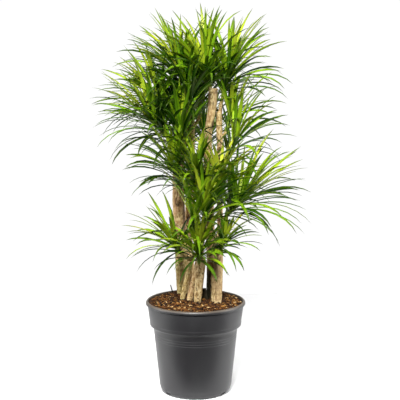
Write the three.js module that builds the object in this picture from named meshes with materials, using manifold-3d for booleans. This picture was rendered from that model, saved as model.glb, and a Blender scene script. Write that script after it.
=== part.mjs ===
// A potted dracaena: eight cut canes stand in a pot of bark mulch and carry twenty heads of strap leaves.
// Millimetres, +Z up. The pot stands on z = 0 with its axis on Z, and the front of the plant faces -Y.
import * as THREE from "three";
import { mergeVertices } from "three/addons/utils/BufferGeometryUtils.js";
import Module from "manifold-3d";

const wasm = await Module();
wasm.setup();

// ---------- driving dimensions ----------
const gap = 0.3; // left between pieces that touch
const potHeight = 255;
const potRimRadius = 136.5;
const potCollarRadius = 131.5; // just under the rim
const potCollarFoot = 189; // height of the collar's lower lip
const potCollarTaper = 7; // how much narrower the collar is at its lip
const potStepHeight = 181; // height where the wall steps in under the collar
const potShoulderRadius = 115.4; // just under the step
const potBodyRadius = 99.3; // at the top of the rounded base edge
const potBaseRadius = 80; // flat underside
const potEdge = [[90.5, 3], [95.6, 9]]; // radius and height of the two corners of the rounded base edge
const potWall = 2.4;
const potFloor = 3;
const potSegments = 32;
const slotSize = [16, 18, 11]; // drainage slots in the base edge: depth into the pot, width, height
const slotMiddle = [95.5, 3.5]; // radius and height of a slot's middle
const slotTurns = [-142, -38, 38, 142]; // degrees round the pot from +X

const soilEdge = 252; // height of the mulch at the pot wall
const soilMound = 4.5; // rise of the mulch at the middle
const soilBump = 2.6; // height of the lumps
const soilRings = 6;

const caneSides = 8;
const caneStep = 54; // length of cane between two rings of the solid
const burial = 58; // depth of a cane below the mulch
const footShift = 0.94; // a buried foot stands this share as far from the pot's axis
const caneSwell = 0.05; // share by which a cane swells and narrows along its length
const shootRadius = [6.4, 4.8]; // where a shoot leaves its cane, and under its head
const coreRadius = [6.6, 5.2, 3.8, 1.5]; // of a head's core, from its foot to its tip
const twigSides = 6;

const leafWidth = 9.6;
const leafThickness = 1.7;
const leafStations = [0, 0.22, 0.48, 0.75]; // rings of a leaf's solid, as shares of its length
const goldenTurn = THREE.MathUtils.degToRad(137.508); // from one leaf to the next around a shoot
const leavesPerHead = 19; // leaves of each head that the solid keeps
const leafClearance = 7.6; // between sample points of two heads' leaves
const ownClearance = 5.6; // between sample points of leaves of one head
const woodClearance = 2.5; // between sample points and wood
const rootSamples = 15; // samples nearest the root, where leaves of one head may crowd
const furthestKept = 3; // leaves tried first for each side that the plant reaches to
const lowestLeaf = 318; // no leaf hangs lower than this
// Bare stretches of cane: no leaf passes in front of them. Each has its sides, its heights and its depth.
const bareStretches = [
  { sides: [30, 54], heights: [742, 842], depth: 34 },
  { sides: [57, 71], heights: [668, 765], depth: 60 },
  { sides: [-58, -32], heights: [478, 566], depth: 50 },
];

// Each cane: its radius, the height of its cut top, and its centre line from the mulch upwards.
const cut = (radius, top, ...path) => ({ radius, top, path });
const canes = {
  cane_left: cut(16.5, 780, [-36, 81, 250], [-42, 80, 382], [-47, 62, 530], [-46, 55, 635], [-36, 52, 750]),
  cane_back: cut(9.5, 806, [-10, 108, 250], [-19, 98, 420], [-18, 88, 522], [-12, 76, 661], [-14, 66, 780]),
  cane_thin: cut(7, 386, [-36, 8, 250], [-20, 5, 330], [-10, 2, 375]),
  cane_front_tall: cut(9, 400, [-17, -8, 250], [-1, -2, 319], [4, 0, 342], [13, 6, 388]),
  cane_front_short: cut(10, 376, [5, -20, 250], [12.5, -22.5, 335], [15.5, -24, 372]),
  cane_centre: cut(12, 832, [42, 28, 250], [41, 30, 400], [34, 30, 640], [33, 30, 700], [45, 30, 780], [47, 30, 815]),
  cane_right: cut(15.5, 438, [56, -16, 250], [60, -16, 398], [64, -16, 424]),
  cane_far: cut(8.5, 768, [66, 56, 250], [67, 54, 400], [67, 52, 635], [64, 50, 750]),
};
canes.cane_front_short.growth = 0.31; // the share by which it thickens towards its top

// Each head: the cane and height that its shoot leaves from, the foot and tip of the leafy stretch,
// how many leaves grow there, and their usual length.
const shoot = (cane, from, base, tip, leaves, length) => ({ cane, from, base, tip, leaves, length });
const heads = {
  head_centre_top: shoot("cane_centre", 815, [38, 28, 838], [20, 20, 892], 80, 192),
  head_back_top: shoot("cane_back", 785, [-20, 58, 830], [-52, 46, 886], 76, 192),
  head_far_top: shoot("cane_far", 745, [74, 50, 808], [96, 46, 892], 72, 190),
  head_left_upper: shoot("cane_left", 740, [-70, 36, 760], [-108, 20, 808], 68, 180),
  head_left_outer: shoot("cane_left", 650, [-78, -4, 706], [-128, -26, 764], 68, 184),
  head_left_front: shoot("cane_left", 510, [-46, 0, 576], [-62, -30, 640], 62, 170),
  head_far_outer: shoot("cane_far", 690, [84, 54, 716], [104, 44, 772], 30, 166),
  head_far_low: shoot("cane_far", 560, [88, 14, 644], [114, -4, 704], 38, 178),
  head_right: shoot("cane_right", 425, [84, -30, 496], [142, -40, 556], 70, 200),
  head_front_tall: shoot("cane_front_tall", 390, [24, -52, 472], [22, -76, 540], 74, 178),
  head_thin: shoot("cane_thin", 366, [-42, -28, 394], [-62, -46, 426], 42, 156),
  head_front_mid: shoot("cane_front_tall", 366, [-2, -50, 436], [-10, -78, 506], 48, 170),
  head_front_short: shoot("cane_front_short", 344, [10, -50, 372], [8, -84, 424], 84, 146),
  head_right_low: shoot("cane_right", 372, [66, -50, 404], [80, -72, 440], 30, 122),
  head_back_mid: shoot("cane_back", 716, [10, 96, 756], [14, 110, 820], 50, 180),
  head_back_low: shoot("cane_back", 590, [-28, 126, 645], [-40, 152, 714], 56, 176),
  head_centre_back: shoot("cane_centre", 590, [26, 98, 650], [28, 126, 712], 48, 170),
  head_left_mid: shoot("cane_left", 610, [-34, 0, 660], [-42, -26, 730], 66, 188),
  head_centre_mid: shoot("cane_centre", 480, [6, -26, 550], [2, -54, 622], 68, 174),
  head_bright: shoot("cane_far", 460, [62, -18, 530], [64, -40, 596], 50, 164),
  head_inner: shoot("cane_back", 716, [-12, 16, 764], [-20, -8, 826], 56, 186),
};

const colours = {
  pot: 0x3c3c3e,
  mulch: 0x5a3822,
  cane: 0xb08a62,
  leaf: 0x4f8f1c,
};

// ---------- solids ----------
const vec = (p) => new THREE.Vector3(...p);
const mix = (a, b, t) => a + (b - a) * t;
const clamp = THREE.MathUtils.clamp;
const radians = THREE.MathUtils.degToRad;

// The solid that a closed geometry bounds.
function solidOf(geometry) {
  const bare = geometry.clone();
  bare.deleteAttribute("normal");
  bare.deleteAttribute("uv");
  const merged = mergeVertices(bare, 1e-3);
  return new wasm.Manifold(
    new wasm.Mesh({
      numProp: 3,
      vertProperties: merged.attributes.position.array,
      triVerts: new Uint32Array(merged.index.array),
    }),
  );
}

// A solid from its corner points and its triangles.
function solidFrom(points, triangles) {
  const vertProperties = new Float32Array(points.flatMap((p) => p.toArray()));
  const triVerts = new Uint32Array(triangles.flat());
  return new wasm.Manifold(new wasm.Mesh({ numProp: 3, vertProperties, triVerts }));
}

// Triangles that join rings of equal size into a closed skin, with a fan over each end.
function skin(ringCount, sides, startPoint, endPoint) {
  const triangles = [];
  for (let ring = 0; ring < ringCount - 1; ring++) {
    for (let side = 0; side < sides; side++) {
      const next = (side + 1) % sides;
      const low = ring * sides;
      triangles.push([low + side, low + next, low + sides + next]);
      triangles.push([low + side, low + sides + next, low + sides + side]);
    }
  }
  for (let side = 0; side < sides; side++) {
    const next = (side + 1) % sides;
    const last = (ringCount - 1) * sides;
    triangles.push([startPoint, next, side]);
    triangles.push([endPoint, last + side, last + next]);
  }
  return triangles;
}

// A round rod through the centres, with its own radius at each of them.
function rod(centres, radii, sides) {
  const points = [];
  let across = new THREE.Vector3(1, 0, 0);
  centres.forEach((centre, i) => {
    const along = centres[Math.min(i + 1, centres.length - 1)].clone();
    along.sub(centres[Math.max(i - 1, 0)]).normalize();
    across = across.clone().addScaledVector(along, -across.dot(along)).normalize();
    const other = along.clone().cross(across);
    for (let side = 0; side < sides; side++) {
      const turn = (side / sides) * 2 * Math.PI;
      const point = centre.clone().addScaledVector(across, radii[i] * Math.cos(turn));
      points.push(point.addScaledVector(other, radii[i] * Math.sin(turn)));
    }
  });
  points.push(centres[0], centres[centres.length - 1]);
  return solidFrom(points, skin(centres.length, sides, points.length - 2, points.length - 1));
}

// ---------- pot ----------
// The inside of the wall from the floor to the rim, as radius and height.
const potInside = [
  [potBaseRadius - 1, potFloor],
  [potEdge[0][0] - 1.3, potEdge[0][1] + 2.8],
  [potEdge[1][0] - 2.3, potEdge[1][1] + 1.5],
  [potBodyRadius - potWall, 22],
  [potShoulderRadius - potWall, potStepHeight],
  [potCollarRadius - potCollarTaper - potWall, potCollarFoot + 1],
  [potCollarRadius - potWall, potHeight - 4],
];

// The wall's outline runs up the outside, over the rolled rim and down the inside.
function potOutline() {
  const outline = [
    [0, 0],
    [potBaseRadius, 0],
    ...potEdge,
    [potBodyRadius, 22],
    [potShoulderRadius, potStepHeight],
    [potCollarRadius - potCollarTaper, potCollarFoot],
    [potCollarRadius, potHeight - 10],
    [potRimRadius - 0.5, potHeight - 9],
    [potRimRadius, potHeight - 8],
    [potRimRadius, potHeight - 5.5],
    [potRimRadius - 1.2, potHeight - 2],
    [potRimRadius - 3.5, potHeight],
    [potCollarRadius - 1.5, potHeight],
    ...potInside.toReversed(),
    [0, potFloor],
  ];
  return outline.map(([radius, height]) => new THREE.Vector2(radius, height));
}

function potSolid() {
  const shell = new THREE.LatheGeometry(potOutline(), potSegments).rotateX(Math.PI / 2);
  let solid = solidOf(shell);
  for (const turn of slotTurns) {
    const slot = new THREE.BoxGeometry(...slotSize);
    slot.translate(slotMiddle[0], 0, slotMiddle[1]);
    slot.rotateZ(radians(turn));
    solid = solid.subtract(solidOf(slot));
  }
  return solid;
}

// ---------- mulch ----------
// A lumpy surface: two crossed waves and a finer third one, on a low mound.
function mulchHeight(x, y) {
  const share = 1 - Math.hypot(x, y) / potCollarRadius;
  const broad = Math.sin(x / 9 + 0.7) * Math.cos(y / 8);
  const fine = Math.sin((x + y) / 5.3) * Math.cos((x - y) / 6.1);
  const mound = Math.sin((clamp(share, 0, 1) * Math.PI) / 2);
  return soilEdge + soilMound * mound + soilBump * (0.6 * broad + 0.4 * fine);
}

// The mulch fills the pot: its skin keeps the gap inside the wall and rises to the lumpy top.
function mulchSolid(caneHoles) {
  const points = [];
  const ringAt = (radius, heightOf) => {
    for (let i = 0; i < potSegments; i++) {
      const turn = (i / potSegments) * 2 * Math.PI;
      const x = radius * Math.cos(turn);
      const y = radius * Math.sin(turn);
      points.push(new THREE.Vector3(x, y, heightOf(x, y)));
    }
  };
  const walls = potInside.slice(0, -1);
  walls.forEach(([radius, height]) => ringAt(radius - 2 * gap, () => height + gap));
  const [lowRadius, lowHeight] = potInside[potInside.length - 2];
  const [highRadius, highHeight] = potInside[potInside.length - 1];
  const share = (soilEdge - lowHeight) / (highHeight - lowHeight);
  const topRadius = mix(lowRadius, highRadius, share) - 4 * gap;
  for (let ring = 0; ring < soilRings; ring++) {
    ringAt(topRadius * (1 - ring / soilRings), mulchHeight);
  }
  points.push(new THREE.Vector3(0, 0, potFloor + gap), new THREE.Vector3(0, 0, mulchHeight(0, 0)));
  const ringCount = walls.length + soilRings;
  const whole = solidFrom(points, skin(ringCount, potSegments, points.length - 2, points.length - 1));
  return caneHoles.reduce((mulch, hole) => mulch.subtract(hole), whole).simplify(0.02);
}

// ---------- canes and shoots ----------
// The centre line of a cane, from its buried foot to its cut top, at even steps.
function caneLine(cane) {
  const first = cane.path[0];
  const last = vec(cane.path[cane.path.length - 1]);
  const before = vec(cane.path[cane.path.length - 2]);
  const end = last.clone().sub(before).setLength(1);
  end.multiplyScalar((cane.top - last.z) / end.z).add(last);
  const foot = new THREE.Vector3(first[0] * footShift, first[1] * footShift, first[2] - burial);
  const curve = new THREE.CatmullRomCurve3([foot, ...cane.path.map(vec), end], false, "centripetal");
  return curve.getSpacedPoints(Math.round(curve.getLength() / caneStep));
}

// The mean radius of a cane at a height.
function caneRadius(cane, height) {
  const rise = (height - cane.path[0][2]) / (cane.top - cane.path[0][2]);
  return cane.radius * (1 + (cane.growth ?? 0) * clamp(rise, 0, 1));
}

// A cane swells and narrows a little along its length, and its top is cut straight across.
function caneSolid(cane, extra) {
  const centres = caneLine(cane);
  const radii = centres.map(
    (p) => caneRadius(cane, p.z) * (1 + caneSwell * Math.sin(p.z / 31 + cane.radius)) + extra,
  );
  return rod(centres, radii, caneSides);
}

// The centre of a cane at a height.
function caneCentre(cane, height) {
  const line = caneLine(cane);
  const upper = clamp(line.findIndex((p) => p.z >= height), 1, line.length - 1);
  const share = (height - line[upper - 1].z) / (line[upper].z - line[upper - 1].z);
  return line[upper - 1].clone().lerp(line[upper], share);
}

// The bare stretch of a shoot: it leaves the cane, curves up, and ends straight and just under the head.
function shootLine(head) {
  const base = vec(head.base);
  const along = vec(head.tip).sub(base).normalize();
  const end = base.clone().addScaledVector(along, -gap);
  const bendEnd = end.clone().addScaledVector(along, -4);
  const start = caneCentre(canes[head.cane], head.from);
  const reach = start.distanceTo(bendEnd);
  const leave = bendEnd.clone().sub(start).setLength(0.35 * reach).add(new THREE.Vector3(0, 0, 0.05 * reach));
  const curve = new THREE.CubicBezierCurve3(
    start,
    start.clone().add(leave),
    bendEnd.clone().addScaledVector(along, -0.35 * reach),
    bendEnd,
  );
  return [...curve.getSpacedPoints(Math.max(3, Math.round(reach / 28))), end];
}

function shootSolid(head) {
  const centres = shootLine(head);
  const radii = centres.map((p, i) => mix(...shootRadius, i / (centres.length - 1)));
  return rod(centres, radii, twigSides);
}

// ---------- leaves ----------
// A repeatable draw from 0 to 1 for one quality of one leaf.
function draw(head, leaf, quality) {
  const wave = Math.sin(head * 127.1 + leaf * 311.7 + quality * 74.7) * 43758.5453;
  return wave - Math.floor(wave);
}

// Leaf number i of a head: where it starts, which way it sets off, how far it bends, and its size.
function leafOf(head, headNumber, i) {
  const base = vec(head.base);
  const axis = vec(head.tip).sub(base);
  const height = i / (head.leaves - 1);
  const age = 1 - height;
  const along = axis.clone().normalize();
  const across = along.clone().cross(new THREE.Vector3(0, 1, 0)).normalize();
  const other = along.clone().cross(across);
  const turn = i * goldenTurn + radians(24 * (draw(headNumber, i, 1) - 0.5));
  const outward = across.multiplyScalar(Math.cos(turn)).addScaledVector(other, Math.sin(turn));
  const lean = radians(14 + 54 * age ** 0.8 + 26 * (draw(headNumber, i, 2) - 0.5));
  const start = along.clone().multiplyScalar(Math.cos(lean)).addScaledVector(outward, Math.sin(lean));
  start.z += 0.28;
  start.normalize();
  const core = mix(coreRadius[0], coreRadius[2], height);
  const full = mix(0.8, 1, Math.sin(Math.PI * (0.15 + 0.6 * age)));
  return {
    root: base.clone().addScaledVector(axis, 0.09 + 0.85 * height).addScaledVector(outward, 0.4 * core),
    rise: Math.asin(start.z),
    heading: Math.atan2(start.y, start.x),
    sway: radians(30 * (draw(headNumber, i, 3) - 0.5)),
    roll: radians(130 * (draw(headNumber, i, 4) - 0.5)),
    bend: radians(mix(30, 72, age) + 38 * (draw(headNumber, i, 5) - 0.5)),
    length: head.length * full * mix(0.84, 1.1, draw(headNumber, i, 6)),
    width: leafWidth * mix(0.82, 1.08, draw(headNumber, i, 7)),
  };
}

// Points along a leaf, from root to tip: its rise falls off as 20 parts of u and 80 of u squared.
function leafLine(leaf, stations) {
  const steps = 24;
  const line = [leaf.root.clone()];
  for (let i = 0; i < steps; i++) {
    const u = (i + 0.5) / steps;
    const rise = Math.max(leaf.rise - leaf.bend * (0.2 * u + 0.8 * u * u), radians(-82));
    const heading = leaf.heading + leaf.sway * u;
    const step = new THREE.Vector3(Math.cos(heading), Math.sin(heading), Math.tan(rise));
    step.setLength(leaf.length / steps);
    line.push(line[i].clone().add(step));
  }
  return stations.map((u) => {
    const place = u * steps;
    const low = Math.min(Math.floor(place), steps - 1);
    return line[low].clone().lerp(line[low + 1], place - low);
  });
}

// Half the width of a leaf: narrow at the root, full before the middle, fine at the tip.
function halfWidth(leaf, u) {
  const widen = mix(0.5, 1, Math.sin((Math.min(u / 0.36, 1) * Math.PI) / 2));
  const taper = 1 - Math.max((u - 0.42) / 0.58, 0) ** 2.4;
  return 0.5 * leaf.width * widen * taper;
}

// The left, right and under edges of a leaf's solid at its stations, and its tip.
function leafRings(leaf) {
  const line = leafLine(leaf, [...leafStations, 1]);
  const rings = leafStations.map((u, i) => {
    const along = line[i + 1].clone().sub(line[Math.max(i - 1, 0)]).normalize();
    const heading = leaf.heading + leaf.sway * u;
    const level = new THREE.Vector3(-Math.sin(heading), Math.cos(heading), 0);
    const side = level.applyAxisAngle(along, leaf.roll * u);
    side.addScaledVector(along, -side.dot(along)).normalize();
    const under = side.clone().cross(along).negate();
    const half = halfWidth(leaf, u);
    return [
      line[i].clone().addScaledVector(side, -half),
      line[i].clone().addScaledVector(side, half),
      line[i].clone().addScaledVector(under, leafThickness * mix(1, 0.6, u)),
    ];
  });
  return { rings, line };
}

function leafSolid(leaf) {
  const { rings, line } = leafRings(leaf);
  const points = [...rings.flat(), leaf.root.clone(), line[line.length - 1]];
  return solidFrom(points, skin(rings.length, 3, points.length - 2, points.length - 1));
}

// Points spread over a leaf's solid, used to keep leaves clear of each other.
function leafSamples(leaf) {
  const { rings, line } = leafRings(leaf);
  const tip = line[line.length - 1];
  const samples = [];
  rings.forEach((ring, i) => {
    const next = rings[i + 1] ?? [tip, tip, tip];
    const count = Math.ceil(line[i].distanceTo(line[i + 1]) / 4);
    for (let step = 0; step < count; step++) {
      const [left, right] = [0, 1].map((edge) => ring[edge].clone().lerp(next[edge], step / count));
      samples.push(left, left.clone().lerp(right, 0.5), right);
    }
  });
  samples.push(tip);
  return samples;
}

// ---------- which leaves the solids keep ----------
// Points in cubes of one cell each, so that a near point is found fast.
class Crowd {
  constructor(cell) {
    this.cell = cell;
    this.cubes = new Map();
  }
  key(p, dx, dy, dz) {
    const place = (value, shift) => Math.floor(value / this.cell) + shift;
    return `${place(p.x, dx)},${place(p.y, dy)},${place(p.z, dz)}`;
  }
  add(p, owner) {
    const key = this.key(p, 0, 0, 0);
    if (!this.cubes.has(key)) this.cubes.set(key, []);
    this.cubes.get(key).push({ p, owner });
  }
  // Whether a point lies too near one already here; the room asked for depends on the owner.
  meets(p, roomFor) {
    for (const dx of [-1, 0, 1])
      for (const dy of [-1, 0, 1])
        for (const dz of [-1, 0, 1]) {
          const cube = this.cubes.get(this.key(p, dx, dy, dz)) ?? [];
          if (cube.some((other) => other.p.distanceTo(p) < roomFor(other.owner))) return true;
        }
    return false;
  }
}

// The distance from a point to the nearest wood, less the wood's radius there.
function woodRoom(p, wood) {
  let room = Infinity;
  for (const { centres, radius } of wood) {
    for (let i = 0; i + 1 < centres.length; i++) {
      const stretch = new THREE.Line3(centres[i], centres[i + 1]);
      const nearest = stretch.closestPointToPoint(p, true, new THREE.Vector3());
      room = Math.min(room, nearest.distanceTo(p) - radius);
    }
  }
  return room;
}

// Whether a point of a leaf hides a bare stretch of cane from the front.
function hidesCane(p) {
  const within = (value, [low, high]) => value > low && value < high;
  return bareStretches.some((bare) => p.y < bare.depth && within(p.x, bare.sides) && within(p.z, bare.heights));
}

// The leaves that reach furthest to each side, to the front, to the back and up.
function furthestLeaves(entries) {
  const sides = [[1, 0, 0], [-1, 0, 0], [0, 1, 0], [0, -1, 0], [0, 0, 1]];
  return sides.flatMap((side) => {
    const reach = (entry) => Math.max(...entry.samples.map((p) => p.dot(vec(side))));
    return entries.toSorted((a, b) => reach(b) - reach(a)).slice(0, furthestKept);
  });
}

// Chooses the leaves that each head keeps: the furthest ones, then each head takes one in turn.
// A leaf is kept where it clears the wood, the other heads' cores, and the leaves kept so far.
function chooseLeaves() {
  const headList = Object.values(heads);
  const caneWood = (cane) => ({ centres: caneLine(cane), radius: caneRadius(cane, cane.top) * (1 + caneSwell) });
  const shootWood = (head) => ({ centres: shootLine(head), radius: shootRadius[0] });
  const wood = [...Object.values(canes).map(caneWood), ...headList.map(shootWood)];
  const coreWood = (head) => ({ centres: [vec(head.base), vec(head.tip)], radius: coreRadius[0] });
  const grown = headList.map((head, number) =>
    Array.from({ length: head.leaves }, (_, i) => {
      const leaf = leafOf(head, number, i);
      return { leaf, number, samples: leafSamples(leaf) };
    }),
  );
  const order = furthestLeaves(grown.flat());
  const mostLeaves = Math.max(...headList.map((head) => head.leaves));
  for (let rank = 0; rank < mostLeaves; rank++) {
    const inTurn = grown.filter((leaves) => rank < leaves.length);
    order.push(...inTurn.map((leaves) => leaves[(rank * 29 + 11) % leaves.length]));
  }
  const crowd = new Crowd(leafClearance);
  const kept = headList.map(() => []);
  for (const { leaf, number, samples } of new Set(order)) {
    const roomFor = (owner) => (owner === number ? ownClearance : leafClearance);
    const outside = samples.slice(rootSamples);
    const otherCores = headList.filter((head, other) => other !== number).map(coreWood);
    const clear =
      kept[number].length < leavesPerHead &&
      samples.every((p) => p.z > lowestLeaf && !hidesCane(p) && woodRoom(p, otherCores) > woodClearance) &&
      samples.slice(6).every((p) => woodRoom(p, wood) > woodClearance) &&
      !outside.some((p) => crowd.meets(p, roomFor));
    if (clear) {
      kept[number].push(leaf);
      samples.forEach((p) => crowd.add(p, number));
    }
  }
  return kept;
}

// A head: a slim tapered core with its leaves rooted in it.
function headSolid(head, leaves) {
  const base = vec(head.base);
  const tip = vec(head.tip);
  const centres = [0, 0.5, 0.92, 1].map((t) => base.clone().lerp(tip, t));
  const core = rod(centres, coreRadius, twigSides);
  const whole = wasm.Manifold.union([core, ...leaves.map(leafSolid)]).simplify(0.02);
  return whole.decompose().reduce((best, body) => (body.volume() > best.volume() ? body : best));
}

// ---------- assembly ----------
function meshOf(name, solid, colour, roughness) {
  const { vertProperties, triVerts, numProp } = solid.getMesh();
  const geometry = new THREE.BufferGeometry();
  const positions = new THREE.InterleavedBuffer(vertProperties, numProp);
  geometry.setAttribute("position", new THREE.InterleavedBufferAttribute(positions, 3, 0));
  geometry.setIndex(new THREE.BufferAttribute(triVerts, 1));
  const material = new THREE.MeshStandardMaterial({ color: colour, roughness, metalness: 0 });
  const mesh = new THREE.Mesh(geometry, material);
  mesh.name = name;
  return mesh;
}

const plant = new THREE.Group();
plant.add(meshOf("pot", potSolid(), colours.pot, 0.55));
const holes = Object.values(canes).map((cane) => caneSolid(cane, gap));
plant.add(meshOf("mulch", mulchSolid(holes), colours.mulch, 0.95));
for (const [name, cane] of Object.entries(canes)) {
  const shoots = Object.values(heads).filter((head) => head.cane === name);
  const wood = wasm.Manifold.union([caneSolid(cane, 0), ...shoots.map((head) => shootSolid(head))]);
  plant.add(meshOf(name, wood.simplify(0.02), colours.cane, 0.85));
}
const keptLeaves = chooseLeaves();
Object.entries(heads).forEach(([name, head], number) => {
  plant.add(meshOf(name, headSolid(head, keptLeaves[number]), colours.leaf, 0.5));
});

export default plant;
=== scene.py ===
import math

import bpy
import numpy as np
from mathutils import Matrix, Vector


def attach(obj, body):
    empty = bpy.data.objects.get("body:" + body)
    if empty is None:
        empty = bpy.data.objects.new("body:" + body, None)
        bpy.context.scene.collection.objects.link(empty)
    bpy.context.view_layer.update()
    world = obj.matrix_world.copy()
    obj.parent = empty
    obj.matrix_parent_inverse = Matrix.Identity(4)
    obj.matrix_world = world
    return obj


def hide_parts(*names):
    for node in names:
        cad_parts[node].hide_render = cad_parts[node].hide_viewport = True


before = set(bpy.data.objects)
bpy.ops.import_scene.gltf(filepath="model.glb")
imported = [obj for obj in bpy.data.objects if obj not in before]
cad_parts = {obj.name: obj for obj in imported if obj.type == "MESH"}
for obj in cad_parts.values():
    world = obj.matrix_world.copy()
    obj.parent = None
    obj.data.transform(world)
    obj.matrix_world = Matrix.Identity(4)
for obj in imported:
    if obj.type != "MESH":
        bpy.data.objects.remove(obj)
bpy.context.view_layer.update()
mm = 0.001  # lengths below are in millimetres, and become metres where a mesh is made

# the view of the photograph: the lens stands in front of the pot, on -Y, and looks a little down
view = {"distance": 3000, "height": 985, "sideways": 12.2, "pitch": 8.576, "lens": 100.88}

cameraData = bpy.data.cameras.new("camera")
cameraData.lens = view["lens"]
cameraData.sensor_width = 36
camera = bpy.data.objects.new("camera", cameraData)
camera.location = Vector((view["sideways"], -view["distance"], view["height"])) * mm
camera.rotation_euler = (math.radians(90 - view["pitch"]), 0, 0)
bpy.context.scene.collection.objects.link(camera)
bpy.context.scene.camera = camera
bpy.context.scene.view_settings.view_transform = "Standard"
print("stage 1: camera set")


# numbers and meshes
def mix(a, b, share):
    return a + (b - a) * share


def smooth(value, low, high):
    # 0 below low, 1 above high, and a soft s-shaped rise between them
    share = np.clip((value - low) / (high - low), 0, 1)
    return share * share * (3 - 2 * share)


def unit(vectors):
    return vectors / np.linalg.norm(vectors, axis=-1, keepdims=True)


def latticeDraw(i, j, k, seed):
    # one repeatable number from 0 to 1 for each whole-number place: the fraction of a large sine
    wave = np.sin(i * 127.1 + j * 311.7 + k * 74.7 + seed * 53.3) * 43758.5453
    return wave - np.floor(wave)


def softNoise(x, y, z, cell, seed):
    # noise from -1 to 1: draws at the corners of cubes of one cell, blended smoothly between them
    px, py, pz = x / cell, y / cell, z / cell
    ix, iy, iz = np.floor(px), np.floor(py), np.floor(pz)
    wx, wy, wz = (smooth(p - i, 0, 1) for p, i in ((px, ix), (py, iy), (pz, iz)))
    total = 0
    for dx in (0, 1):
        for dy in (0, 1):
            for dz in (0, 1):
                weight = (wx if dx else 1 - wx) * (wy if dy else 1 - wy) * (wz if dz else 1 - wz)
                total = total + weight * latticeDraw(ix + dx, iy + dy, iz + dz, seed)
    return 2 * total - 1


def ringAngles(sides):
    # the turn of each point of a ring, in radians
    return np.arange(sides) / sides * 2 * np.pi


def ringFaces(rings, sides, first=0):
    # four-sided faces between neighbouring rings of points, each ring closed on itself
    ring, side = np.meshgrid(np.arange(rings - 1), np.arange(sides), indexing="ij")
    low = first + ring * sides
    after = (side + 1) % sides
    return np.stack([low + side, low + after, low + sides + after, low + sides + side], -1).reshape(-1, 4)


def fanFaces(ring, pole):
    # triangles from each side of a ring to one point
    return np.stack([ring, np.roll(ring, -1), np.full(len(ring), pole)], -1)


def closedTube(skin, low, high, first=0):
    # rings of points with one more point at each end: the points, the faces round it and the end triangles
    rings, sides = skin.shape[:2]
    lowRing = first + np.arange(sides)
    pole = first + rings * sides
    ends = [fanFaces(lowRing[::-1], pole), fanFaces(lowRing + (rings - 1) * sides, pole + 1)]
    points = np.concatenate([skin.reshape(-1, 3), [low, high]])
    return points, ringFaces(rings, sides, first), np.concatenate(ends)


def signedVolume(points, faces):
    # a sixth of the sum over triangles of a . (b x c), above 0 where the faces point outwards
    total = 0
    for block in faces:
        for i in range(1, block.shape[1] - 1):
            a, b, c = points[block[:, 0]], points[block[:, i]], points[block[:, i + 1]]
            total += np.einsum("ij,ij->i", a, np.cross(b, c)).sum() / 6
    return total


def meshPiece(name, points, faces, finish, nodes=(), values=None, sharp=None):
    # points in millimetres, faces in blocks of equal length, values for the material, one a point;
    # an edge is crisp where both of its points have the same number above 0 in sharp
    points = np.asarray(points, float).reshape(-1, 3)
    if signedVolume(points - points.mean(0), faces) < 0:
        faces = [block[:, ::-1] for block in faces]
    mesh = bpy.data.meshes.new(name)
    mesh.from_pydata((points * mm).tolist(), [], [face for block in faces for face in block.tolist()])
    mesh.polygons.foreach_set("use_smooth", np.ones(len(mesh.polygons), bool))
    for key, value in (values or {}).items():
        attribute = mesh.attributes.new(key, "FLOAT", "POINT")
        attribute.data.foreach_set("value", np.asarray(value, np.float32).reshape(-1))
    if sharp is not None:
        ends = np.zeros(len(mesh.edges) * 2, np.int32)
        mesh.edges.foreach_get("vertices", ends)
        hard = sharp[ends.reshape(-1, 2)]
        edgeMark = mesh.attributes.new("sharp_edge", "BOOLEAN", "EDGE")
        edgeMark.data.foreach_set("value", (hard[:, 0] == hard[:, 1]) & (hard[:, 0] > 0))
    mesh.materials.append(finish)
    mesh.update()
    piece = bpy.data.objects.new(name, mesh)
    bpy.context.scene.collection.objects.link(piece)
    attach(piece, "root")
    if nodes:
        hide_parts(*nodes)
    return piece


# materials
def hexColour(code):
    # an sRGB hex colour as the linear colour that a shader takes
    parts = [int(code[i : i + 2], 16) / 255 for i in (0, 2, 4)]
    return [p / 12.92 if p <= 0.04045 else ((p + 0.055) / 1.055) ** 2.4 for p in parts] + [1]


def addNode(tree, kind, settings=None, values=None, links=None):
    node = tree.nodes.new(kind)
    for key, value in (settings or {}).items():
        setattr(node, key, value)
    for key, value in (values or {}).items():
        node.inputs[key].default_value = value
    for key, source in (links or {}).items():
        tree.links.new(source, node.inputs[key])
    return node


def newMaterial(name):
    material = bpy.data.materials.new(name)
    material.use_nodes = True
    tree = material.node_tree
    tree.nodes.clear()
    shader = addNode(tree, "ShaderNodeBsdfPrincipled")
    addNode(tree, "ShaderNodeOutputMaterial", links={"Surface": shader.outputs[0]})
    return material, tree, shader


def rampOf(tree, factor, stops):
    ramp = addNode(tree, "ShaderNodeValToRGB", links={"Fac": factor})
    while len(ramp.color_ramp.elements) < len(stops):
        ramp.color_ramp.elements.new(0.5)
    for element, (place, code) in zip(ramp.color_ramp.elements, stops):
        element.position = place
        element.color = hexColour(code)
    return ramp.outputs["Color"]


def blendColour(tree, factor, under, code):
    # from the colour under it to a hex colour, by the factor from 0 to 1
    node = addNode(tree, "ShaderNodeMix", {"data_type": "RGBA"}, {7: hexColour(code)}, {0: factor, 6: under})
    return node.outputs[2]


def mapRange(tree, value, fromLow, fromHigh, toLow=0.0, toHigh=1.0):
    values = {1: fromLow, 2: fromHigh, 3: toLow, 4: toHigh}
    return addNode(tree, "ShaderNodeMapRange", values=values, links={0: value}).outputs[0]


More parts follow.
